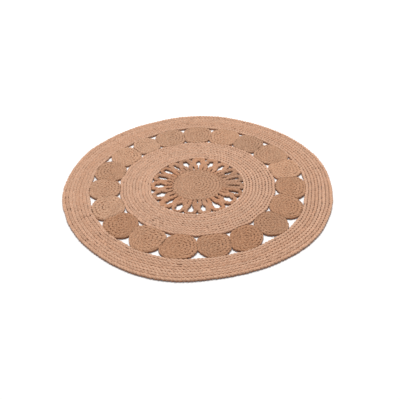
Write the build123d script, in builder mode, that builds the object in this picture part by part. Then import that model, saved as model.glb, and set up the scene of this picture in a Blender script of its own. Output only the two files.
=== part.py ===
from build123d import *
from math import asin, cos, degrees, hypot, radians, sin, sqrt, tan
import os

os.makedirs("parts", exist_ok=True)

# Round area rug sewn together from lengths of flat three-strand jute plait.
# Origin: centre of the rug on the floor. +Z is up, all sizes are in millimetres.

# ---- driving dimensions -------------------------------------------------------------------------
rug_radius = 600.0         # finished rug, 1.2 m across
plait_thickness = 13.0     # every row of plait, lying flat
row_gap = 0.2              # clearance between two rows sewn side by side

border_rows = 8
border_inner_radius = 482.0
band_rows = 10
band_outer_radius = 346.5
band_inner_radius = 207.0

disc_count = 19            # coiled discs between the border and the band
disc_radius = 67.4
disc_turns = 5
first_disc_angle = 88.3

centre_radius = 114.0
centre_turns = 8

petal_plait_width = 15.0   # plait bent round into the loops of the openwork ring
petal_gap = 0.3            # between the two legs of a loop, and to what the loop touches
stem_radius = 141.0        # the two legs of a loop lie side by side from the centre disc to here
spread_radius = 22.0       # bend of each leg where the legs part

thread_radius = 0.7        # sewing thread
thread_clearance = 0.05
stitch_length = 8.0        # one joining stitch

# where the two butted ends of a row meet: a step of rows shares each place
border_seam_angles = (204.0, 9.4)
rows_per_border_seam = 4
band_seam_angles = (300.0, 120.0)
rows_per_band_seam = 5
seam_arc = 0.06            # degrees left open between the two ends

# loops of the openwork ring: direction in degrees, and outer half width of the loop
petals = (
    (11.3, 22.5), (30.0, 24.5), (48.7, 27.5), (67.7, 28.5), (86.7, 27.5), (106.5, 30.0), (124.4, 24.5),
    (141.4, 27.0), (158.2, 24.5), (178.2, 28.0), (199.7, 30.0), (223.5, 26.0), (241.6, 28.8), (259.7, 26.8),
    (278.0, 27.5), (296.3, 28.5), (321.3, 30.0), (339.7, 25.5), (355.5, 22.5),
)

# ---- worked out from them -----------------------------------------------------------------------
disc_ring_radius = (border_inner_radius + band_outer_radius) / 2
disc_step = 360.0 / disc_count
border_pitch = (rug_radius - border_inner_radius) / border_rows
band_pitch = (band_outer_radius - band_inner_radius) / band_rows
edge_radius = plait_thickness / 2
core_height = plait_thickness / 2


def thread_height(side_gap):
    """Height of a thread in the groove between two rounded edges side_gap apart, or between their sides."""
    across = edge_radius + side_gap / 2
    reach = edge_radius + thread_radius + thread_clearance
    if across >= reach:
        return edge_radius
    return edge_radius + sqrt(reach ** 2 - across ** 2)


def radial_plane(angle):
    """Upright plane through the rug's axis, with its X pointing outwards at the given angle."""
    outwards = (cos(radians(angle)), sin(radians(angle)), 0)
    normal = (sin(radians(angle)), -cos(radians(angle)), 0)
    return Plane(origin=(0, 0, 0), x_dir=outwards, z_dir=normal)


# ---- rows of plait ------------------------------------------------------------------------------
def make_row(middle_radius, pitch, seam_angle):
    """One row: a plait bent into a ring, its two ends butted at the seam."""
    with BuildPart() as row:
        with BuildSketch(radial_plane(seam_angle + seam_arc)):
            with Locations((middle_radius, plait_thickness / 2)):
                SlotOverall(pitch - row_gap, plait_thickness)
        revolve(axis=Axis.Z, revolution_arc=360 - seam_arc)
    return row


def make_rows(name, inner_radius, pitch, count, seam_angles, rows_per_seam):
    for index in range(count):
        middle_radius = inner_radius + pitch * (index + 0.5)
        seam_angle = seam_angles[index // rows_per_seam]
        row = make_row(middle_radius, pitch, seam_angle)
        row.part.label = f"{name}_{index + 1:02d}"
        export_step(row.part, f"parts/{row.part.label}.step")


def make_lacing(name, inner_radius, pitch, count):
    """Sewing thread along each groove between two rows, one ring of thread per groove."""
    with BuildPart() as lacing:
        for index in range(1, count):
            with Locations((0, 0, thread_height(row_gap))):
                Torus(inner_radius + pitch * index, thread_radius)
    lacing.part.label = name
    export_step(lacing.part, f"parts/{name}.step")


# ---- coiled discs -------------------------------------------------------------------------------
def make_coil(radius, turns):
    """A plait coiled flat: its turns show as rounded rings, sewn through into one disc."""
    turn = radius / turns
    with BuildPart() as coil:
        with BuildSketch(Plane.XZ):
            for index in range(turns):
                with Locations((turn * (index + 0.5), plait_thickness / 2)):
                    SlotOverall(turn, plait_thickness)
            with Locations((0, plait_thickness / 2)):
                Rectangle(radius - edge_radius, core_height, align=(Align.MIN, Align.CENTER))
        revolve(axis=Axis.Z)
    return coil


def make_discs():
    coil = make_coil(disc_radius, disc_turns)
    for index in range(disc_count):
        angle = first_disc_angle + disc_step * index
        with BuildPart() as disc:
            with PolarLocations(disc_ring_radius, 1, start_angle=angle):
                add(coil.part)
        disc.part.label = f"coil_disc_{index + 1:02d}"
        export_step(disc.part, f"parts/{disc.part.label}.step")


def make_centre_disc():
    centre_disc = make_coil(centre_radius, centre_turns)
    centre_disc.part.label = "centre_disc"
    export_step(centre_disc.part, "parts/centre_disc.step")


# ---- openwork ring ------------------------------------------------------------------------------
def make_petal(half_width):
    """A plait bent into a loop along +X: two legs side by side, then parting into a round end."""
    bend_radius = half_width - petal_plait_width / 2
    bend_centre = band_inner_radius - petal_gap - half_width
    leg_start = centre_radius + 1
    leg_offset = (petal_plait_width + petal_gap) / 2
    reach = hypot(bend_centre - stem_radius, leg_offset)
    spread = degrees(asin(bend_radius / reach) - asin(leg_offset / reach))
    bend_x = bend_centre - bend_radius * sin(radians(spread))
    bend_y = bend_radius * cos(radians(spread))
    spread_start = stem_radius - spread_radius * tan(radians(spread / 2))
    with BuildPart() as petal:
        with BuildLine(Plane.XY.offset(plait_thickness / 2)) as path:
            leg = Line((leg_start, leg_offset), (spread_start, leg_offset))
            parting = JernArc(start=leg @ 1, tangent=leg % 1, radius=spread_radius, arc_size=spread)
            side = Line(parting @ 1, (bend_x, bend_y))
            CenterArc((bend_centre, 0), bend_radius, 90 + spread, -(180 + 2 * spread))
            mirror(leg, about=Plane.XZ)
            mirror(parting, about=Plane.XZ)
            mirror(side, about=Plane.XZ)
        with BuildSketch(Plane(origin=leg @ 0, z_dir=leg % 0, x_dir=(0, 0, 1))):
            SlotOverall(petal_plait_width, plait_thickness, rotation=90)
        sweep(path=path.wire())
    return petal


def make_petals():
    for index, (angle, half_width) in enumerate(petals):
        loop = make_petal(half_width)
        with BuildPart() as petal:
            with Locations(Location((0, 0, 0), (0, 0, angle))):
                add(loop.part)
        petal.part.label = f"petal_{index + 1:02d}"
        export_step(petal.part, f"parts/{petal.part.label}.step")


# ---- joining stitches ---------------------------------------------------------------------------
def make_joining_stitches():
    """Short threads in the grooves where discs, band, border, petals and centre disc are sewn together."""
    disc_side_gap = border_inner_radius - disc_ring_radius - disc_radius + row_gap / 2
    disc_meeting_radius = disc_ring_radius * cos(radians(disc_step / 2))
    between_discs = 2 * (disc_ring_radius * sin(radians(disc_step / 2)) - disc_radius)
    tangential = (90, 0, 0)
    radial = (0, 90, 0)
    with BuildPart() as joining_stitches:
        for seam_radius in (
            disc_ring_radius + disc_radius + disc_side_gap / 2,
            disc_ring_radius - disc_radius - disc_side_gap / 2,
        ):
            with PolarLocations(seam_radius, disc_count, start_angle=first_disc_angle):
                with Locations((0, 0, thread_height(disc_side_gap))):
                    Cylinder(thread_radius, stitch_length, rotation=tangential)
        with PolarLocations(disc_meeting_radius, disc_count, start_angle=first_disc_angle + disc_step / 2):
            with Locations((0, 0, thread_height(between_discs))):
                Cylinder(thread_radius, stitch_length, rotation=radial)
        for angle, _ in petals:
            with PolarLocations(band_inner_radius, 1, start_angle=angle):
                with Locations((-petal_gap / 2, 0, thread_height(petal_gap + row_gap))):
                    Cylinder(thread_radius, stitch_length, rotation=tangential)
    joining_stitches.part.label = "joining_stitches"
    export_step(joining_stitches.part, "parts/joining_stitches.step")


make_rows("border_row", border_inner_radius, border_pitch, border_rows, border_seam_angles, rows_per_border_seam)
make_lacing("border_lacing", border_inner_radius, border_pitch, border_rows)
make_discs()
make_rows("band_row", band_inner_radius, band_pitch, band_rows, band_seam_angles, rows_per_band_seam)
make_lacing("band_lacing", band_inner_radius, band_pitch, band_rows)
make_petals()
make_centre_disc()
make_joining_stitches()
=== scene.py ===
import math
import bpy
import numpy as np
from mathutils import Matrix, Vector


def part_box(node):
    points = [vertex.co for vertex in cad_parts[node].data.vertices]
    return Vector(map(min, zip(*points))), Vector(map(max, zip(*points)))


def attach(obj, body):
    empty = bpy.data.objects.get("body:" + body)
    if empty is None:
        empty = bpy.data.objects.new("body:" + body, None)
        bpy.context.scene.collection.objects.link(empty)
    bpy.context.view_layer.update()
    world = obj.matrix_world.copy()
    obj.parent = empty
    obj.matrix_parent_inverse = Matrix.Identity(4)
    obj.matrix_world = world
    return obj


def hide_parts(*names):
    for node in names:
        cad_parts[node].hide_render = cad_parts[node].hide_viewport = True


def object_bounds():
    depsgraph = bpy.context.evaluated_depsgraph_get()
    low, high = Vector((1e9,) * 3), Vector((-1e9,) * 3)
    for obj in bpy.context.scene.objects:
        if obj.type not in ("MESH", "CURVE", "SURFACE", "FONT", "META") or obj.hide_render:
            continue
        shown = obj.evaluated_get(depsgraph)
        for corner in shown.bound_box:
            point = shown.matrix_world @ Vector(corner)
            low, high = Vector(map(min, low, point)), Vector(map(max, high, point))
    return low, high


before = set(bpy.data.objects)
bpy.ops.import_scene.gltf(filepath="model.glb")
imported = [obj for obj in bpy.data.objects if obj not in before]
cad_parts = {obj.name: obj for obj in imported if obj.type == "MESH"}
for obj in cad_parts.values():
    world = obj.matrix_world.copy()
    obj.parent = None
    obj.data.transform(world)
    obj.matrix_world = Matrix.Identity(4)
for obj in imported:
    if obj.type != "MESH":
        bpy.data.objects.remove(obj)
cad_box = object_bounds()

# A round jute rug: flat three-strand plaits of loosely spun fibre, sewn side by side. Every row,
# coiled disc and loop is modelled strand by strand around the place its CAD solid holds.

# ---- the plait ----------------------------------------------------------------------------------
CROSSING = 0.0152          # along a plait, from one strand crossing to the next on the same edge
STRANDS = 3
SECTION_SIDES = 12         # corners round one strand
STEPS_PER_CROSSING = 5     # sections of a strand for each crossing
SWING = 0.235              # how far a strand's middle swings to each side, as a share of the width
CORNERING = 0.02           # how sharply a strand turns back at the plait's edges
STRAND_HALF_WIDTH = 0.300  # as a share of the plait's width
STRAND_HALF_HEIGHT = 0.275  # as a share of the plait's thickness
EDGE_GROWTH = 0.135        # a strand stands taller by this share of the thickness where it turns back
RISE = 0.215               # how far a strand's middle rises and falls, as a share of the thickness
SQUARENESS = 0.76          # 1 is an oval strand, less is flatter on top and fuller at its corners
TURN_BACK_THINNING = 0.10  # a strand is narrower by this share where it turns back
LOOSENESS = 0.08           # how unevenly a strand swings
FATNESS = 0.07             # how unevenly thick a strand is
CROSSING_DRIFT = 0.10      # how far the crossings wander along a plait
HIGHEST_RISE = 1.2         # strands of a widened plait rise no more than in one this much wider than usual
PINCH = 1.6                # how much a strand thins where a needle parted the plait
PINCH_RARITY = 0.72        # the nearer to 1, the fewer such places
LOBES = 4                  # bundles of fibre that show as shallow ridges on a strand
LOBE_DEPTH = 0.05
TWIST_LENGTH = 0.055       # one full turn of a strand's fibres
FLOOR_CLEARANCE = 0.0002

# ---- read from the frame ------------------------------------------------------------------------
THICKNESS = float(cad_box[1][2] - cad_box[0][2])
RUG_RADIUS = float(cad_box[1][0])
DISC_NODES = sorted(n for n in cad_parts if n.startswith("coil_disc"))
BORDER_NODES = sorted(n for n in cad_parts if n.startswith("border_row"))
BAND_NODES = sorted(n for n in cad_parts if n.startswith("band_row"))
PETAL_NODES = sorted(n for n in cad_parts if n.startswith("petal"))


def node_points(node):
    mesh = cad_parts[node].data
    points = np.empty(len(mesh.vertices) * 3)
    mesh.vertices.foreach_get("co", points)
    return points.reshape(-1, 3)


def disc_place(node):
    low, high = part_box(node)
    centre = ((low[0] + high[0]) / 2, (low[1] + high[1]) / 2)
    return centre, (high[0] - low[0]) / 2


DISC_PLACES = [disc_place(n) for n in DISC_NODES]
DISC_RING_RADIUS = float(np.mean([math.hypot(*centre) for centre, _ in DISC_PLACES]))
DISC_RADIUS = float(np.mean([radius for _, radius in DISC_PLACES]))
DISC_ANGLES = [math.atan2(centre[1], centre[0]) for centre, _ in DISC_PLACES]


def row_radii(nodes):
    """Middle radius and width of each row of a ring of rows, from the rows' outer radii."""
    outer = [float(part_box(n)[1][0]) for n in nodes]
    pitch = (outer[-1] - outer[0]) / (len(outer) - 1)
    return [(radius - pitch / 2, pitch) for radius in outer]


# ---- hand-made unevenness -----------------------------------------------------------------------
# Slow waves in the outline: lobes round the rug, depth in metres, direction of the first in degrees
OUTLINE_WAVES = ((2, 0.0025, 340), (3, 0.0015, 340), (4, 0.0030, 345), (5, 0.0030, 25), (6, 0.0025, 20))
SHRUNK = 0.0040            # the rug's edge inside its CAD edge
SCALLOP = 0.0024           # how far the rows next to the discs bend out round each disc and in between them
SCALLOP_FADE = 0.35        # how far these bends reach past the ring of discs, as a share of a disc's radius
SWELL_SHARE = 0.55         # growth of a disc outwards and inwards for its growth sideways
SWELL_FADE = 1.2           # how fast that growth dies out past the ring of discs
SHIFT_FADE = 3.0           # how fast the discs' sideways shifts die out past their ring
HAND_WAVES = 10            # small waves in all directions that shift every plait a little
HAND_WAVE_HEIGHT = 0.0024  # as a share of a wave's length


def smooth_random(rng, count, length, spacing):
    """Random values from -1 to 1 along a length, that change smoothly over the given spacing."""
    knots = max(4, int(math.ceil(length / spacing)) + 3)
    values = rng.uniform(-1, 1, knots)
    at = np.linspace(0, knots - 1.001, count)
    low = at.astype(int)
    share = at - low
    share = share * share * (3 - 2 * share)
    return values[low] * (1 - share) + values[np.minimum(low + 1, knots - 1)] * share


# Where neighbouring discs touch, in degrees round the rug: on their outer side and on their inner side
TOUCHING_OUTSIDE = (98, 117.5, 134, 152, 171.5, 190.5, 209.5, 230, 248, 269.5, 286.5, 306.5, 325, 344, 364,
                    382.5, 403, 420.5, 439.5)
TOUCHING_INSIDE = (98, 117.5, 135, 153.5, 171.5, 190, 209, 227, 249.5, 268.5, 289.5, 308, 327, 347, 363.5,
                   382.5, 401.5, 420.5, 440)
DISC_STEP = 2 * math.pi / len(DISC_NODES)
EVEN_TOUCHING = [DISC_ANGLES[0] + DISC_STEP * (k + 0.5) for k in range(len(DISC_NODES))]
SHIFT_OUTSIDE = np.radians(TOUCHING_OUTSIDE) - EVEN_TOUCHING
SHIFT_INSIDE = np.radians(TOUCHING_INSIDE) - EVEN_TOUCHING
SHIFT_BETWEEN = (SHIFT_OUTSIDE + SHIFT_INSIDE) / 2
DISC_SWELL = (SHIFT_BETWEEN - np.roll(SHIFT_BETWEEN, 1)) / DISC_STEP * DISC_RADIUS * SWELL_SHARE

warp_rng = np.random.default_rng(41)
WAVE_DIRECTIONS = warp_rng.uniform(0, 2 * math.pi, HAND_WAVES)
WAVE_PHASES = warp_rng.uniform(0, 2 * math.pi, (HAND_WAVES, 2))
WAVE_LENGTHS = np.linspace(0.09, 0.34, HAND_WAVES)


def around(angle, first_angle, values):
    """Values given at even steps round the rug from the first angle, joined by a smooth curve."""
    count = len(values)
    place = ((angle - first_angle) % (2 * math.pi)) / (2 * math.pi) * count
    index = np.floor(place).astype(int) % count
    share = place - np.floor(place)
    values = np.asarray(values)
    before, here, after, beyond = (values[(index + k) % count] for k in (-1, 0, 1, 2))
    bend = 2 * before - 5 * here + 4 * after - beyond
    turn = 3 * here - before - 3 * after + beyond
    return here + 0.5 * share * (after - before + share * (bend + share * turn))


def warp(points):
    """Moves points as hand sewing pulled the rug: one smooth map for all pieces, so that none part."""
    x, y = points[:, 0], points[:, 1]
    radius = np.hypot(x, y)
    angle = np.arctan2(y, x)
    # 0 in the middle of the ring of discs, -1 and 1 at the band and the border
    away = (radius - DISC_RING_RADIUS) / DISC_RADIUS
    beyond = np.clip(np.abs(away) - 1, 0, None)
    swell = np.clip(away, -1, 1) * np.exp(-beyond * SWELL_FADE)
    outward = around(angle, DISC_ANGLES[0], DISC_SWELL) * swell
    near_edge = (radius / RUG_RADIUS) ** 3
    for lobes, depth, first in OUTLINE_WAVES:
        outward = outward + depth * np.cos(lobes * (angle - math.radians(first))) * near_edge
    outward = outward - SHRUNK * near_edge
    bent = np.where(np.abs(away) < 1, np.abs(away) ** 4, np.exp((1 - np.abs(away)) / SCALLOP_FADE))
    outward = outward + SCALLOP * np.sign(away) * bent * np.cos((angle - DISC_ANGLES[0]) * len(DISC_NODES))
    outer_share = np.clip(0.5 + 0.75 * away, 0, 1)
    turned = around(angle, EVEN_TOUCHING[0], SHIFT_OUTSIDE) * outer_share
    turned = turned + around(angle, EVEN_TOUCHING[0], SHIFT_INSIDE) * (1 - outer_share)
    turned = turned * np.exp(-beyond ** 2 * SHIFT_FADE)
    moved = points.copy()
    moved[:, 0] = (radius + outward) * np.cos(angle + turned)
    moved[:, 1] = (radius + outward) * np.sin(angle + turned)
    for direction, (phase_x, phase_y), length in zip(WAVE_DIRECTIONS, WAVE_PHASES, WAVE_LENGTHS):
        along = (x * math.cos(direction) + y * math.sin(direction)) * 2 * math.pi / length
        moved[:, 0] += HAND_WAVE_HEIGHT * length * np.sin(along + phase_x)
        moved[:, 1] += HAND_WAVE_HEIGHT * length * np.sin(along + phase_y)
    return moved


# ---- strands into meshes ------------------------------------------------------------------------
def squared(wave):
    return np.sign(wave) * np.abs(wave) ** SQUARENESS


class Strand:
    """One bundle of fibre as a closed tube: its corners, and what the material reads from them."""

    def __init__(self, centre, half_width, half_height, sides, twist_length, lobes, lobe_depth, tint, start):
        count = len(centre)
        ahead = np.gradient(centre, axis=0)
        step = np.linalg.norm(ahead, axis=1)
        ahead /= step[:, None]
        run = np.concatenate([[0], np.cumsum(np.linalg.norm(np.diff(centre, axis=0), axis=1))])
        across = np.cross([0.0, 0.0, 1.0], ahead)
        across /= np.linalg.norm(across, axis=1)[:, None]
        upward = np.cross(ahead, across)
        turn = np.linspace(0, 2 * math.pi, sides, endpoint=False)[None, :]
        twist = (run / twist_length * 2 * math.pi)[:, None]
        bulge = 1 - lobe_depth + lobe_depth * np.cos(lobes * turn - twist)
        end = np.minimum(np.arange(count), np.arange(count)[::-1])
        closing = np.sqrt(np.clip((end + 0.25) / 2.0, 0, 1))
        wide = (half_width * closing)[:, None] * bulge * squared(np.cos(turn))
        high = (half_height * closing)[:, None] * bulge * squared(np.sin(turn))
        sideways = across[:, None, :] * wide[..., None]
        corners = centre[:, None, :] + sideways + upward[:, None, :] * high[..., None]
        self.count, self.sides = count, sides
        self.corners = corners.reshape(-1, 3)
        fibre_turn = turn - twist
        own = np.stack([
            np.broadcast_to((run + start)[:, None], (count, sides)),
            half_width[:, None] * np.cos(fibre_turn),
            half_width[:, None] * np.sin(fibre_turn),
        ], axis=-1)
        self.own = own.reshape(-1, 3)
        shade = np.repeat(tint[:, None, :], sides, 1)
        # third value: each corner's height as a share of the thickness, from which the material paints shade
        # on the strand's low parts
        shade[:, :, 2] = np.clip(corners[:, :, 2] / THICKNESS, 0, 1)
        self.tint = shade.reshape(-1, 3)

    def quads(self):
        ring = np.arange(self.count - 1)[:, None] * self.sides
        side = np.arange(self.sides)[None, :]
        following = (side + 1) % self.sides
        onward = ring + self.sides
        tube = np.stack([ring + side, ring + following, onward + following, onward + side], -1)
        half = self.sides // 2 - 1
        near = np.arange(half)
        last = self.sides - 1
        cap = np.stack([near, last - near, last - near - 1, near + 1], -1)
        far = cap[:, ::-1] + (self.count - 1) * self.sides
        return tube.reshape(-1, 4), np.concatenate([cap, far])


MAP_GUTTER = 0.06          # left free below and above a line of the texture map, as a share of the line
MAP_EDGE = 0.002           # left free at the map's left and right


def bake_map(strands):
    """Texture places of every face corner: each strand unrolled, cut to lengths and stacked in lines."""
    steps = sum(s.count - 1 for s in strands)
    mean_width = np.mean([np.abs(s.own[:, 1]).max() for s in strands])
    mean_step = np.mean([(s.own[-1, 0] - s.own[0, 0]) / (s.count - 1) for s in strands])
    lines = max(1.0, math.sqrt(steps * mean_step / (2 * math.pi * mean_width)))
    per_line = max(6, int(math.ceil(steps / lines)))
    total = sum(-(-(s.count - 1) // per_line) for s in strands)
    places = []
    line = 0
    for s in strands:
        index = np.arange(s.count - 1)
        row = line + index // per_line
        start = index % per_line
        side = np.arange(s.sides)[None, :]
        low = (row[:, None] + MAP_GUTTER + (1 - 2 * MAP_GUTTER) * side / s.sides) / total
        high = (row[:, None] + MAP_GUTTER + (1 - 2 * MAP_GUTTER) * (side + 1) / s.sides) / total
        left = (start / per_line * (1 - 2 * MAP_EDGE) + MAP_EDGE)[:, None] + 0 * low
        right = ((start + 1) / per_line * (1 - 2 * MAP_EDGE) + MAP_EDGE)[:, None] + 0 * low
        u = np.stack([left, left, right, right], -1)
        v = np.stack([low, high, high, low], -1)
        tube = np.stack([u, v], -1).reshape(-1, 2)
        cap_faces = 2 * (s.sides // 2 - 1)
        cap = np.tile([[MAP_EDGE, (line + 0.5) / total]], (cap_faces * 4, 1))
        places.append(np.concatenate([tube, cap]))
        line += int(row[-1] - row[0]) + 1
    return np.concatenate(places)


def strand_piece(name, nodes, material, strands):
    """Joins strands into one piece, warps it, and lets it stand for its CAD nodes."""
    corners = np.concatenate([s.corners for s in strands])
    own = np.concatenate([s.own for s in strands])
    tint = np.concatenate([s.tint for s in strands])
    faces = []
    offset = 0
    for s in strands:
        tube, caps = s.quads()
        faces.append(np.concatenate([tube, caps]) + offset)
        offset += len(s.corners)
    faces = np.concatenate(faces)
    corners = warp(corners)
    corners[:, 2] = np.maximum(corners[:, 2], FLOOR_CLEARANCE)
    mesh = bpy.data.meshes.new(name)
    mesh.vertices.add(len(corners))
    mesh.vertices.foreach_set("co", corners.ravel())
    mesh.loops.add(faces.size)
    mesh.loops.foreach_set("vertex_index", faces.ravel().astype(np.int32))
    mesh.polygons.add(len(faces))
    mesh.polygons.foreach_set("loop_start", np.arange(0, faces.size, 4, dtype=np.int32))
    mesh.polygons.foreach_set("use_smooth", np.ones(len(faces), dtype=bool))
    mesh.update(calc_edges=True)
    own_map = mesh.attributes.new("strand", "FLOAT_VECTOR", "POINT")
    own_map.data.foreach_set("vector", own.ravel())
    tint_map = mesh.attributes.new("tint", "FLOAT_VECTOR", "POINT")
    tint_map.data.foreach_set("vector", tint.ravel())
    bake = mesh.uv_layers.new(name="OFBake")
    bake.data.foreach_set("uv", bake_map(strands).ravel())
    mesh.materials.append(material)
    piece = bpy.data.objects.new(name, mesh)
    bpy.context.scene.collection.objects.link(piece)
    if nodes:
        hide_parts(*nodes)
    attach(piece, "root")
    return piece


def plait(path, width, thickness, rng, tint, first_phase=0.0, scale=None, start=0.0):
    """Three strands over and under each other along a path in the floor plane, lying on the floor."""
    gaps = np.linalg.norm(np.diff(path, axis=0), axis=1)
    run = np.concatenate([[0], np.cumsum(gaps)])
    length = run[-1]
    count = max(8, int(round(length / CROSSING * STEPS_PER_CROSSING)))
    along = np.linspace(0, length, count)
    middle = np.stack([np.interp(along, run, path[:, k]) for k in range(2)], -1)
    ahead = np.gradient(middle, axis=0)
    ahead /= np.linalg.norm(ahead, axis=1)[:, None]
    left = np.stack([-ahead[:, 1], ahead[:, 0]], -1)
    size = np.ones(count) if scale is None else np.interp(along, run, scale)
    period = CROSSING * STRANDS
    drift = np.cumsum(smooth_random(rng, count, length, 0.12)) * (CROSSING_DRIFT / STEPS_PER_CROSSING)
    strands = []
    for k in range(STRANDS):
        phase = 2 * math.pi * (along / period + k / STRANDS) + drift + first_phase
        loose = smooth_random(rng, count, length, 0.03)
        fat = 1 + FATNESS * smooth_random(rng, count, length, 0.05)
        pinch = np.clip(smooth_random(rng, count, length, 0.011) - PINCH_RARITY, 0, 1) * PINCH
        edge = np.sin(phase) ** 2
        swing = SWING * width * size * (1 + LOOSENESS * loose)
        offset = swing * (np.sin(phase) - CORNERING * np.sin(3 * phase))
        offset = offset + 0.0004 * smooth_random(rng, count, length, 0.02)
        height = thickness * (0.5 + RISE * np.sin(2 * phase) * np.minimum(size, HIGHEST_RISE))
        height += 0.0003 * smooth_random(rng, count, length, 0.025)
        centre = np.concatenate([middle + left * offset[:, None], height[:, None]], -1)
        half_width = STRAND_HALF_WIDTH * width * size * fat * (1 - TURN_BACK_THINNING * edge) * (1 - pinch)
        half_height = thickness * (STRAND_HALF_HEIGHT + EDGE_GROWTH * edge) * (2 - fat) * (1 - 0.4 * pinch)
        value = tint[0] + 0.05 * rng.uniform(-1, 1) + 0.05 * smooth_random(rng, count, length, 0.06)
        value = value + 0.07 * smooth_random(rng, count, length, 0.012)
        warmth = tint[1] + 0.15 * rng.uniform(-1, 1) + 0.2 * smooth_random(rng, count, length, 0.15)
        tints = np.stack([value, warmth, 0 * value], -1)
        strands.append(Strand(centre, half_width, half_height, SECTION_SIDES, TWIST_LENGTH, LOBES, LOBE_DEPTH,
                              tints, start + 7.3 * k))
    return strands


# ---- paths --------------------------------------------------------------------------------------
def ring_path(radius, seam_angle, gap):
    """Round the rug once, from one side of the seam to the other."""
    half = gap / radius / 2
    count = int(radius * 2 * math.pi / 0.003)
    turn = np.linspace(seam_angle + half, seam_angle + 2 * math.pi - half, count)
    return np.stack([radius * np.cos(turn), radius * np.sin(turn)], -1)


DISC_TURNS = 5
CENTRE_TURNS = 8
COIL_START = 0.42          # part of a turn, from the middle of a disc, at which its plait begins
COIL_TAIL = 0.80           # part of a turn over which the plait of a disc narrows to its end
PRESSED_SHARPNESS = 26.0   # how sharp the corners of a pressed disc are
PRESSED_DEPTH = 1.3        # the higher, the fewer of a disc's outer turns are pressed with its edge
CORNER_WIDENING = 2.3      # how much wider the plait lies where it reaches out into a corner
FACE_REACH = 1.02          # edge of a disc towards the border and the band, as a share of its CAD radius
SIDE_REACH = 1.035         # the same towards the discs beside it
FULL_INSIDE = 1.15         # how far a disc's inner corners reach, as a share of its CAD radius
# the same for the outer corners either side of each place where two discs touch
FULL_OUTSIDE = (
    1.16, 1.12, 1.18, 1.15, 1.23, 1.17, 1.24, 1.09, 1.12, 1.05,
    1.13, 1.03, 1.09, 1.17, 1.20, 1.30, 1.19, 1.24, 1.18,
)


def coil_path(centre, radius, turns, start_angle, clockwise, outline):
    """A flat spiral from the middle out; it starts and ends narrow, so that the disc closes round."""
    pitch = radius / turns
    turn = np.linspace(COIL_START, turns + COIL_TAIL, int(math.pi * radius * turns / 0.002))
    inner = np.clip((turn - 1) * pitch, 0, None)
    outer = np.minimum(turn * pitch, radius)
    middle = (inner + outer) / 2
    scale = (outer - inner) / pitch
    angle = start_angle + (-1 if clockwise else 1) * 2 * math.pi * turn
    pressed = (outline(angle) - 1) * (middle / radius) ** PRESSED_DEPTH
    reach = 1 + pressed
    scale = scale * (1 + CORNER_WIDENING * np.clip(pressed, 0, 1))
    out = middle * reach
    path = np.stack([centre[0] + out * np.cos(angle), centre[1] + out * np.sin(angle)], -1)
    return path, scale, pitch


def pressed_outline(index):
    """Edge of a disc pressed against its four neighbours, for each direction, as a share of its radius."""
    facing = DISC_ANGLES[index]
    corners = (FULL_OUTSIDE[index], FULL_INSIDE, FULL_INSIDE, FULL_OUTSIDE[index - 1])
    sides = (
        (facing, FACE_REACH),
        (facing + math.pi / 2 + DISC_STEP / 2, SIDE_REACH),
        (facing + math.pi, FACE_REACH),
        (facing - math.pi / 2 - DISC_STEP / 2, SIDE_REACH),
    )

    def outline(angle):
        full = around(angle, facing + math.pi / 4, corners)
        total = full ** -PRESSED_SHARPNESS
        for direction, distance in sides:
            facing_share = np.clip(np.cos(angle - direction), 0.05, 1)
            total = total + (distance / facing_share) ** -PRESSED_SHARPNESS
        return total ** (-1 / PRESSED_SHARPNESS)

    return outline


def round_outline(angle):
    return 1 + 0 * angle


PETAL_PLAIT_WIDTH = 0.015
STEM_RADIUS = 0.141        # the legs of a loop part here, as in its CAD solid
SPREAD_RADIUS = 0.022      # bend of each leg where they part
STEM_HALF_GAP = 0.00015    # from the middle of a loop to each of its legs
STEM_TUCK = 0.0055         # how far the legs go on past their CAD ends, into the edge of the centre disc
LOOP_DEPTH = 0.0286        # from a loop's far end back to its widest place
LOOP_STRETCH = 0.002       # how far the loops' ends are pulled out to the band
LOOP_BLUNTNESS = 0.72      # 1 is a round loop, less is fuller in its outer corners
LOOP_SPREADS = (0.94, 1.25)  # least and most that a loop is spread to meet its neighbours
STEM_SPREADS = (1.0, 1.9)  # the same for its legs
ROOT_RADIUS = 0.178        # inside this radius a loop's legs are spread evenly rather than its round end
ROOT_FADE = 0.024
FULLNESS_RADII = (0.122, 0.167, 0.185)  # where the three fullnesses below hold: stem, sides and loop
# width of the plait round each loop's end as a share of its CAD width: the fuller, the smaller its opening
LOOP_FULLNESS = (
    1.28, 1.65, 1.55, 1.53, 1.98, 1.44, 1.65, 1.02, 1.43, 1.50,
    1.58, 1.90, 1.00, 1.06, 1.60, 1.28, 1.32, 1.18, 1.60,
)
# the same along the sides of a loop
SIDE_FULLNESS = (
    1.42, 1.42, 1.70, 1.80, 2.20, 1.80, 1.45, 1.30, 1.52, 1.85,
    1.95, 1.90, 1.75, 1.92, 2.00, 1.98, 2.00, 1.36, 1.42,
)
STEM_FULLNESS = 1.26       # the same where the two legs of a loop start at the centre disc


def blunt(wave):
    return np.sign(wave) * np.abs(wave) ** LOOP_BLUNTNESS


def petal_place(node):
    """Direction of a loop, its half width and its inner and outer reach, read from its CAD solid."""
    points = node_points(node)
    low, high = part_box(node)
    angle = math.atan2(low[1] + high[1], low[0] + high[0])
    for _ in range(8):
        across = points[:, 1] * math.cos(angle) - points[:, 0] * math.sin(angle)
        along = points[:, 0] * math.cos(angle) + points[:, 1] * math.sin(angle)
        angle += (across.max() + across.min()) / 2 / (along.max() - LOOP_DEPTH)
    return angle, (across.max() - across.min()) / 2, along.min(), along.max()


PETAL_PLACES = [petal_place(n) for n in PETAL_NODES]


def across(path):
    """Direction square to a path in the floor plane."""
    ahead = np.gradient(path, axis=0)
    ahead /= np.linalg.norm(ahead, axis=1)[:, None]
    return np.stack([-ahead[:, 1], ahead[:, 0]], -1)


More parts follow.
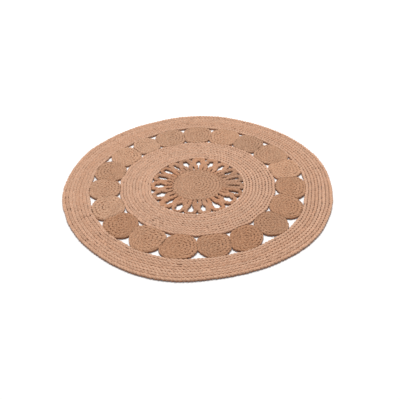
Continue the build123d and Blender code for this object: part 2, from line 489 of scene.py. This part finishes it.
def petal_path(index):
    """Out along one leg of a loop, round its end and back along the other, pulled over to its neighbours."""
    angle, half_width, low, high = PETAL_PLACES[index]
    bend = half_width - PETAL_PLAIT_WIDTH / 2
    bend_centre = high - half_width
    leg_offset = PETAL_PLAIT_WIDTH / 2 + STEM_HALF_GAP
    reach = math.hypot(bend_centre - STEM_RADIUS, leg_offset)
    spread = math.asin(bend / reach) - math.asin(leg_offset / reach)
    parting = STEM_RADIUS - SPREAD_RADIUS * math.tan(spread / 2)
    share = np.linspace(0, 1, 40, endpoint=False)[:, None]
    stem_start = np.array([[low - STEM_TUCK, leg_offset]])
    stem = stem_start * (1 - share) + np.array([[parting, leg_offset]]) * share
    turn = np.linspace(0, spread, 12)
    opened = SPREAD_RADIUS * (1 - np.cos(turn))
    opening = np.stack([parting + SPREAD_RADIUS * np.sin(turn), leg_offset + opened], -1)
    turn = np.linspace(math.pi / 2 + spread, -math.pi / 2 - spread, 60)
    round_end = np.stack([bend_centre + bend * blunt(np.cos(turn)), bend * blunt(np.sin(turn))], -1)
    side = opening[-1:] * (1 - share[1:]) + round_end[:1] * share[1:]
    leg = np.concatenate([stem, opening, side])
    path = np.concatenate([leg, round_end, leg[::-1] * [1, -1]])
    following = (PETAL_PLACES[(index + 1) % len(PETAL_PLACES)][0] - angle) % (2 * math.pi) / 2
    previous = (angle - PETAL_PLACES[index - 1][0]) % (2 * math.pi) / 2
    room = np.where(path[:, 1] > 0, math.tan(following), math.tan(previous))
    loop_half_width = PETAL_PLAIT_WIDTH * LOOP_FULLNESS[index] / 2
    at_loop = np.clip((room * bend_centre - loop_half_width) / bend, *LOOP_SPREADS)
    at_stem = np.clip(room * path[:, 0] / 2 / leg_offset, *STEM_SPREADS)
    root = np.clip((ROOT_RADIUS - path[:, 0]) / ROOT_FADE, 0, 1)
    root = root * root * (3 - 2 * root)
    path[:, 1] *= at_loop * (1 - root) + at_stem * root
    path[:, 0] += LOOP_STRETCH * np.clip((path[:, 0] - 0.17) / 0.02, 0, 1)
    return np.stack([path[:, 0] * math.cos(angle) - path[:, 1] * math.sin(angle),
                     path[:, 0] * math.sin(angle) + path[:, 1] * math.cos(angle)], -1)


# ---- materials ----------------------------------------------------------------------------------
def jute(name, dark, middle, light, painted_shade_tint=(0.43, 0.215, 0.09, 1)):
    """Natural jute: streaks of pale and dark fibre along each strand, dark flecks, and painted shade that
    darkens and browns the low parts of each strand.
    """
    material = bpy.data.materials.new(name)
    material.use_nodes = True
    nodes = material.node_tree.nodes
    links = material.node_tree.links
    shader = nodes["Principled BSDF"]
    strand = nodes.new("ShaderNodeAttribute")
    strand.attribute_name = "strand"
    tint = nodes.new("ShaderNodeAttribute")
    tint.attribute_name = "tint"

    def noise(stretch, scale, detail, roughness=0.6):
        place = nodes.new("ShaderNodeMapping")
        place.inputs["Scale"].default_value = stretch
        links.new(strand.outputs["Vector"], place.inputs["Vector"])
        node = nodes.new("ShaderNodeTexNoise")
        node.inputs["Scale"].default_value = scale
        node.inputs["Detail"].default_value = detail
        node.inputs["Roughness"].default_value = roughness
        links.new(place.outputs["Vector"], node.inputs["Vector"])
        return node.outputs["Fac"]

    def maths(operation, first, second, clamp=False):
        node = nodes.new("ShaderNodeMath")
        node.operation = operation
        node.use_clamp = clamp
        for socket, value in zip(node.inputs, (first, second)):
            if isinstance(value, (int, float)):
                socket.default_value = value
            else:
                links.new(value, socket)
        return node.outputs["Value"]

    def ramp(source, stops):
        node = nodes.new("ShaderNodeValToRGB")
        node.color_ramp.elements[0].position, node.color_ramp.elements[0].color = stops[0]
        node.color_ramp.elements[1].position, node.color_ramp.elements[1].color = stops[-1]
        for position, colour in stops[1:-1]:
            node.color_ramp.elements.new(position).color = colour
        links.new(source, node.inputs["Fac"])
        return node.outputs["Color"]

    streaks = noise((1.0, 22.0, 22.0), 45.0, 4.0)
    hairs = noise((1.0, 30.0, 30.0), 110.0, 2.0)
    patches = noise((1.0, 1.0, 1.0), 14.0, 2.0)
    flecks = noise((1.0, 3.0, 3.0), 150.0, 1.0)
    fibre = maths("ADD", maths("MULTIPLY", streaks, 0.62), maths("MULTIPLY", hairs, 0.38), clamp=True)
    colour = ramp(fibre, ((0.30, dark), (0.50, middle), (0.70, light)))

    parts = nodes.new("ShaderNodeSeparateXYZ")
    links.new(tint.outputs["Vector"], parts.inputs["Vector"])
    # painted shade: the lower a strand's surface lies, the more its colour is multiplied by the painted shade
    # colour, fully at 0.18 of the thickness and not at all above 0.80
    depth = nodes.new("ShaderNodeMapRange")
    depth.inputs["From Min"].default_value = 0.18
    depth.inputs["From Max"].default_value = 0.80
    depth.inputs["To Min"].default_value = 1.0
    depth.inputs["To Max"].default_value = 0.0
    links.new(parts.outputs["Z"], depth.inputs["Value"])
    painted_shade = nodes.new("ShaderNodeMix")
    painted_shade.data_type = "RGBA"
    painted_shade.blend_type = "MULTIPLY"
    links.new(depth.outputs["Result"], painted_shade.inputs["Factor"])
    links.new(colour, painted_shade.inputs["A"])
    painted_shade.inputs["B"].default_value = painted_shade_tint
    value = maths("ADD", parts.outputs["X"], maths("MULTIPLY", maths("SUBTRACT", patches, 0.5), 0.25))
    speck = maths("MULTIPLY", maths("GREATER_THAN", flecks, 0.715), -0.42)
    value = maths("ADD", maths("ADD", value, speck), 1.0)
    hue = maths("ADD", maths("MULTIPLY", parts.outputs["Y"], -0.003), 0.5)
    shift = nodes.new("ShaderNodeHueSaturation")
    richness = maths("ADD", maths("MULTIPLY", parts.outputs["Y"], 0.10), 1.0)
    links.new(hue, shift.inputs["Hue"])
    links.new(richness, shift.inputs["Saturation"])
    links.new(value, shift.inputs["Value"])
    links.new(painted_shade.outputs["Result"], shift.inputs["Color"])
    links.new(shift.outputs["Color"], shader.inputs["Base Color"])

    rough = nodes.new("ShaderNodeMapRange")
    rough.inputs["To Min"].default_value = 0.78
    rough.inputs["To Max"].default_value = 0.98
    links.new(hairs, rough.inputs["Value"])
    links.new(rough.outputs["Result"], shader.inputs["Roughness"])
    bump = nodes.new("ShaderNodeBump")
    bump.inputs["Strength"].default_value = 0.55
    bump.inputs["Distance"].default_value = 0.0006
    links.new(fibre, bump.inputs["Height"])
    links.new(bump.outputs["Normal"], shader.inputs["Normal"])
    shader.inputs["Sheen Weight"].default_value = 0.12
    shader.inputs["Sheen Roughness"].default_value = 0.5
    shader.inputs["Specular IOR Level"].default_value = 0.3
    return material


JUTE_BORDER = jute("jute_border", (0.413, 0.222, 0.129, 1), (0.610, 0.358, 0.233, 1),
                   (0.769, 0.518, 0.372, 1))
JUTE_BAND = jute("jute_band", (0.437, 0.247, 0.147, 1), (0.636, 0.384, 0.257, 1),
                 (0.795, 0.547, 0.399, 1))
JUTE_DISCS = jute("jute_discs", (0.316, 0.164, 0.088, 1), (0.497, 0.273, 0.163, 1),
                  (0.668, 0.427, 0.274, 1))
# the last colour is the openwork's painted shade on the low parts of its strands, darker than in the other
# jute materials
JUTE_OPENWORK = jute("jute_openwork", (0.320, 0.155, 0.078, 1), (0.490, 0.256, 0.148, 1),
                     (0.650, 0.380, 0.240, 1), (0.24, 0.105, 0.035, 1))
JUTE_CENTRE = jute("jute_centre", (0.348, 0.181, 0.101, 1), (0.503, 0.284, 0.174, 1),
                   (0.658, 0.419, 0.275, 1))
THREAD = jute("sewing_thread", (0.20, 0.10, 0.05, 1), (0.30, 0.16, 0.09, 1), (0.44, 0.26, 0.16, 1))


# ---- the rug ------------------------------------------------------------------------------------
ROW_FULLNESS = 1.088       # width of a plait in a row as a share of the rows' spacing
COIL_FULLNESS = 1.14       # the same for the turns of a coiled disc, which are pressed together
NEEDLE_HOLES = 0.74        # the nearer to 1, the fewer places where sewing parted two rows
HOLE_WIDTH = 2.0           # how far the rows stand apart at such a place
# where the two ends of a row meet, in degrees: a step of rows shares each place
BORDER_SEAMS = (204.0, 9.4)
BORDER_ROWS_PER_SEAM = 4
BORDER_SEAM_GAP = -0.0010  # below 0 the two ends overlap
BAND_SEAMS = (300.0, 120.0)
BAND_ROWS_PER_SEAM = 5
BAND_SEAM_GAP = -0.0060
TUCKED_IN = 0.6            # how far a coil's end is moved from its disc's corner to its side, as a share


def make_rows(nodes, material, seam_angles, rows_per_seam, seam_gap, seed):
    for index, (node, (radius, pitch)) in enumerate(zip(nodes, row_radii(nodes))):
        rng = np.random.default_rng(seed + index)
        seam = math.radians(seam_angles[index // rows_per_seam]) + rng.uniform(-1, 1) * 0.006 / radius
        path = ring_path(radius, seam, seam_gap)
        ends = np.minimum(np.arange(len(path)), np.arange(len(path))[::-1]) * 0.003
        scale = 0.92 + 0.08 * np.clip(ends / 0.009, 0, 1)
        parted = smooth_random(rng, len(path), radius * 2 * math.pi, 0.010) - NEEDLE_HOLES
        scale = scale - HOLE_WIDTH * np.clip(parted, 0, 1)
        tint = (0.035 * rng.uniform(-1, 1), 0.25 * rng.uniform(-1, 1))
        strands = plait(path, pitch * ROW_FULLNESS, THICKNESS, rng, tint, rng.uniform(0, 6.28), scale,
                        index * 31.0)
        strand_piece(node.replace("_row_", "_plait_"), [node], material, strands)


def make_coil(name, node, material, turns, rng, tint, outline=round_outline, facing=None):
    centre, radius = disc_place(node)
    clockwise = rng.uniform() < 0.35
    start_angle = rng.uniform(0, 2 * math.pi)
    if facing is not None:
        # the plait's end is tucked in where the disc is sewn to a neighbour, not left on a corner
        end = start_angle + (-1 if clockwise else 1) * 2 * math.pi * COIL_TAIL
        past_side = (end - facing + math.pi / 4) % (math.pi / 2) - math.pi / 4
        start_angle -= TUCKED_IN * past_side
    path, scale, pitch = coil_path(centre, radius, turns, start_angle, clockwise, outline)
    strands = plait(path, pitch * COIL_FULLNESS, THICKNESS, rng, tint, rng.uniform(0, 6.28), scale,
                    rng.uniform(0, 50))
    strand_piece(name, [node], material, strands)


# shade and warmth of each coiled disc against the mean, going round from the first
DISC_TINTS = (
    (-0.02, -0.3), (0.02, -0.4), (0.14, -0.7), (0.11, -0.4), (-0.04, -0.1), (0.08, -0.4), (0.11, -0.6),
    (-0.08, 0.7), (0.02, 0.2), (-0.03, 0.6), (-0.08, 0.5), (-0.08, 0.9), (-0.10, 0.3), (-0.02, 0.4),
    (-0.06, 0.4), (0.12, -0.3), (0.00, -0.3), (-0.04, -0.4), (0.09, -0.2),
)


def make_discs():
    for index, node in enumerate(DISC_NODES):
        rng = np.random.default_rng(500 + index)
        outline = pressed_outline(index)
        name = node.replace("coil_disc", "disc_plait")
        make_coil(name, node, JUTE_DISCS, DISC_TURNS, rng, DISC_TINTS[index], outline,
                  DISC_ANGLES[index])


def make_petals():
    for index, node in enumerate(PETAL_NODES):
        rng = np.random.default_rng(800 + index)
        path = petal_path(index)
        tint = (0.10 * rng.uniform(-1, 1), 0.5 * rng.uniform(-1, 1))
        place = np.hypot(path[:, 0], path[:, 1])
        fullness = (STEM_FULLNESS, SIDE_FULLNESS[index], LOOP_FULLNESS[index])
        scale = np.interp(place, FULLNESS_RADII, fullness)
        scale = scale * (1 + 0.10 * smooth_random(rng, len(path), 0.25, 0.035))
        wobble = smooth_random(rng, len(path), 0.25, 0.030) * np.clip((place - 0.118) / 0.01, 0, 1)
        path = path + 0.0020 * wobble[:, None] * across(path)
        strands = plait(path, PETAL_PLAIT_WIDTH, THICKNESS, rng, tint, rng.uniform(0, 6.28), scale,
                        index * 3.0)
        strand_piece(node.replace("petal", "petal_plait"), [node], JUTE_OPENWORK, strands)


# ---- sewing thread ------------------------------------------------------------------------------
THREAD_RADIUS = 0.0009
LACING_STEP = 0.0155       # one full zigzag of the thread in a groove
LACING_SWING = 0.0021      # how far it swings to each side
WHIP_SPACING = 0.0052      # from one whip stitch to the next
WHIP_REACH = 0.0046        # how far a whip stitch reaches to each side
WHIP_SLANT = 0.0011


def thread(path, rng, start):
    """One length of sewing thread along a path in space."""
    count = len(path)
    half = np.full(count, THREAD_RADIUS)
    value = -0.03 + 0.08 * smooth_random(rng, count, count * 0.002, 0.02)
    tints = np.stack([value, 0 * value, 0 * value], -1)
    return Strand(path, half, half, 6, 0.006, 2, 0.12, tints, start)


def make_lacing(node, row_nodes, seed):
    """Thread zigzagging down in each groove, from one row to the next."""
    rng = np.random.default_rng(seed)
    strands = []
    for index, (radius, pitch) in enumerate(row_radii(row_nodes)[1:]):
        groove = radius - pitch / 2
        count = int(groove * 2 * math.pi / 0.0032)
        first = rng.uniform(0, 2 * math.pi)
        turn = np.linspace(first, first + 2 * math.pi - 0.004 / groove, count)
        length = groove * 6.28
        swing = turn * groove / LACING_STEP * 2 * math.pi + 1.5 * smooth_random(rng, count, length, 0.05)
        out = groove + LACING_SWING * np.sin(swing)
        height = THICKNESS * (0.60 + 0.06 * np.cos(2 * swing))
        height = height + 0.0004 * smooth_random(rng, count, length, 0.03)
        path = np.stack([out * np.cos(turn), out * np.sin(turn), height], -1)
        strands.append(thread(path, rng, index * 5.0))
    strand_piece(node + "_thread", [node], THREAD, strands)


def whip_stitches(place, across, count, rng):
    """A few loops of thread over the line where two pieces meet; across points from one to the other."""
    along = np.array([-across[1], across[0]])
    strands = []
    for k in range(count):
        share = np.linspace(-1, 1, 9)
        reach = WHIP_REACH * rng.uniform(0.85, 1.15)
        shifted = (k - (count - 1) / 2) * WHIP_SPACING + rng.uniform(-1, 1) * 0.0006
        middle = np.array(place) + along * shifted
        flat = middle + across * (share * reach)[:, None] + along * (share * WHIP_SLANT)[:, None]
        height = THICKNESS * (0.62 + 0.34 * np.cos(share * 1.25))
        strands.append(thread(np.concatenate([flat, height[:, None]], -1), rng, rng.uniform(0, 50)))
    return strands


def direction(angle):
    return np.array([math.cos(angle), math.sin(angle)])


def make_stitches():
    rng = np.random.default_rng(340)
    band_radius, band_pitch = row_radii(BAND_NODES)[0]
    strands = []
    for angle in DISC_ANGLES:
        outward = direction(angle)
        strands += whip_stitches(outward * (DISC_RING_RADIUS + DISC_RADIUS), outward, 5, rng)
        strands += whip_stitches(outward * (DISC_RING_RADIUS - DISC_RADIUS), outward, 5, rng)
        between = angle + DISC_STEP / 2
        place = direction(between) * DISC_RING_RADIUS * math.cos(DISC_STEP / 2)
        strands += whip_stitches(place, direction(between + math.pi / 2), 5, rng)
    for index in range(len(PETAL_NODES)):
        points = petal_path(index)
        tip = points[len(points) // 2]
        outward = tip / np.linalg.norm(tip)
        strands += whip_stitches(outward * (band_radius - band_pitch / 2), outward, 4, rng)
        for end in (points[0], points[-1]):
            outward = end / np.linalg.norm(end)
            strands += whip_stitches(end, outward, 2, rng)
    strand_piece("whip_stitches", ["joining_stitches"], THREAD, strands)


# ---- loose fibres -------------------------------------------------------------------------------
FIBRE_COUNT = 2600
FIBRE_RADIUS = 0.00022
FIBRE_LENGTHS = (0.007, 0.022)
# rings of the rug that fibres lie on, as inner and outer radius in shares of the rug's radius
DISC_FIBRE_RING = (0.60, 0.78)
FIBRE_RINGS = ((0.0, 0.185), (0.35, 0.57), DISC_FIBRE_RING, (0.81, 0.995))


def make_stray_fibres():
    """Single fibres that have worked loose and lie in curls on the plaits."""
    rng = np.random.default_rng(900)
    areas = np.array([outer ** 2 - inner ** 2 for inner, outer in FIBRE_RINGS])
    strands = []
    while len(strands) < FIBRE_COUNT:
        inner, outer = FIBRE_RINGS[rng.choice(len(areas), p=areas / areas.sum())]
        radius = RUG_RADIUS * math.sqrt(rng.uniform(inner ** 2, outer ** 2))
        angle = rng.uniform(0, 2 * math.pi)
        place = radius * direction(angle)
        nearest = min(np.linalg.norm(place - np.array(centre)) for centre, _ in DISC_PLACES)
        on_discs = DISC_FIBRE_RING[0] < radius / RUG_RADIUS < DISC_FIBRE_RING[1]
        if on_discs and nearest > DISC_RADIUS * 0.9:
            continue
        length = rng.uniform(*FIBRE_LENGTHS)
        heading = rng.uniform(0, 2 * math.pi) + np.cumsum(rng.uniform(-0.5, 0.5, 6))
        steps = np.stack([np.cos(heading), np.sin(heading)], -1) * length / 5
        flat = place + np.cumsum(steps, axis=0)
        height = THICKNESS * (0.86 + 0.16 * np.sin(np.linspace(0.2, rng.uniform(1.6, 3.0), 6)))
        half = np.full(6, FIBRE_RADIUS * rng.uniform(0.7, 1.3))
        tints = np.tile([rng.uniform(-0.35, 0.25), rng.uniform(-0.5, 0.5), 0.0], (6, 1))
        path = np.concatenate([flat, height[:, None]], -1)
        strands.append(Strand(path, half, half, 4, 0.02, 2, 0.1, tints, rng.uniform(0, 90)))
    strand_piece("stray_fibres", [], JUTE_BORDER, strands)


make_rows(BORDER_NODES, JUTE_BORDER, BORDER_SEAMS, BORDER_ROWS_PER_SEAM, BORDER_SEAM_GAP, 100)
make_rows(BAND_NODES, JUTE_BAND, BAND_SEAMS, BAND_ROWS_PER_SEAM, BAND_SEAM_GAP, 200)
make_discs()
make_petals()
make_coil("centre_plait", "centre_disc", JUTE_CENTRE, CENTRE_TURNS, np.random.default_rng(7),
          (0.0, 0.0))
make_lacing("border_lacing", BORDER_NODES, 300)
make_lacing("band_lacing", BAND_NODES, 320)
make_stitches()
make_stray_fibres()


# ---- floor, light and camera --------------------------------------------------------------------
FLOOR_COLOUR = (0.95, 0.95, 0.95, 1)
SURROUNDINGS = 0.34        # strength of the even light from all round
LAMP_POWER = 505
LAMP_SIZE = 4.0
LAMP_PLACE = (0.0, 1.9, 6.9)
LENS = 55.8
# the camera looks from -Y, at this angle above the floor and this far from the rug's centre
ELEVATION = math.radians(36.92)
DISTANCE = 2.7852
ROLL = math.radians(-1.836)
AIM = Vector((0.0095, -0.0990, 0))


def make_floor():
    bpy.ops.mesh.primitive_plane_add(size=60)
    floor = bpy.context.object
    floor.name = "floor"
    material = bpy.data.materials.new("pale_floor")
    material.use_nodes = True
    material.node_tree.nodes["Principled BSDF"].inputs["Base Color"].default_value = FLOOR_COLOUR
    material.node_tree.nodes["Principled BSDF"].inputs["Roughness"].default_value = 0.9
    floor.data.materials.append(material)


def make_light():
    world = bpy.data.worlds.new("studio")
    world.use_nodes = True
    world.node_tree.nodes["Background"].inputs["Color"].default_value = (1.0, 1.0, 1.0, 1)
    world.node_tree.nodes["Background"].inputs["Strength"].default_value = SURROUNDINGS
    bpy.context.scene.world = world
    lamp = bpy.data.lights.new("softbox", "AREA")
    lamp.energy = LAMP_POWER
    lamp.size = LAMP_SIZE
    softbox = bpy.data.objects.new("softbox", lamp)
    softbox.location = LAMP_PLACE
    softbox.rotation_euler = (Vector((0, 0, 0)) - softbox.location).to_track_quat("-Z", "Y").to_euler()
    bpy.context.scene.collection.objects.link(softbox)


def make_camera():
    data = bpy.data.cameras.new("camera")
    data.lens = LENS
    camera = bpy.data.objects.new("camera", data)
    camera.location = (0, -DISTANCE * math.cos(ELEVATION), DISTANCE * math.sin(ELEVATION))
    look = (AIM - camera.location).to_track_quat("-Z", "Y").to_matrix().to_4x4()
    camera.rotation_euler = (look @ Matrix.Rotation(ROLL, 4, "Z")).to_euler()
    bpy.context.scene.collection.objects.link(camera)
    bpy.context.scene.camera = camera


bpy.context.scene.view_settings.view_transform = "Standard"
make_floor()
make_light()
make_camera()
